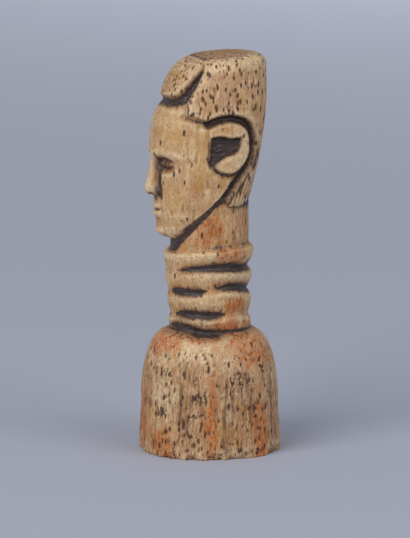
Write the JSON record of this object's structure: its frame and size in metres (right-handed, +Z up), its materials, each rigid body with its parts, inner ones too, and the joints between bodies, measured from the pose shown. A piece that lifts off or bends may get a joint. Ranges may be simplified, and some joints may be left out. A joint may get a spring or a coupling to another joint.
{
  "type": "carved bust figurine",
  "caption": "Small bone bust with high swept-back hair, ears carved in relief, a long ringed neck and a bell-shaped base that it stands on.",
  "frame": {"origin": "centre of the flat underside, on the table", "axes": "+Z up, the face looks along -Y, the figure's left is +X"},
  "size_m": [0.0352, 0.0352, 0.101],
  "materials": {
    "bone": "aged carved bone, handled to a soft polish, dark brown in the cuts and pores"
  },
  "bodies": {
    "root": {"carved_bust": "bone"}
  },
  "joints": []
}
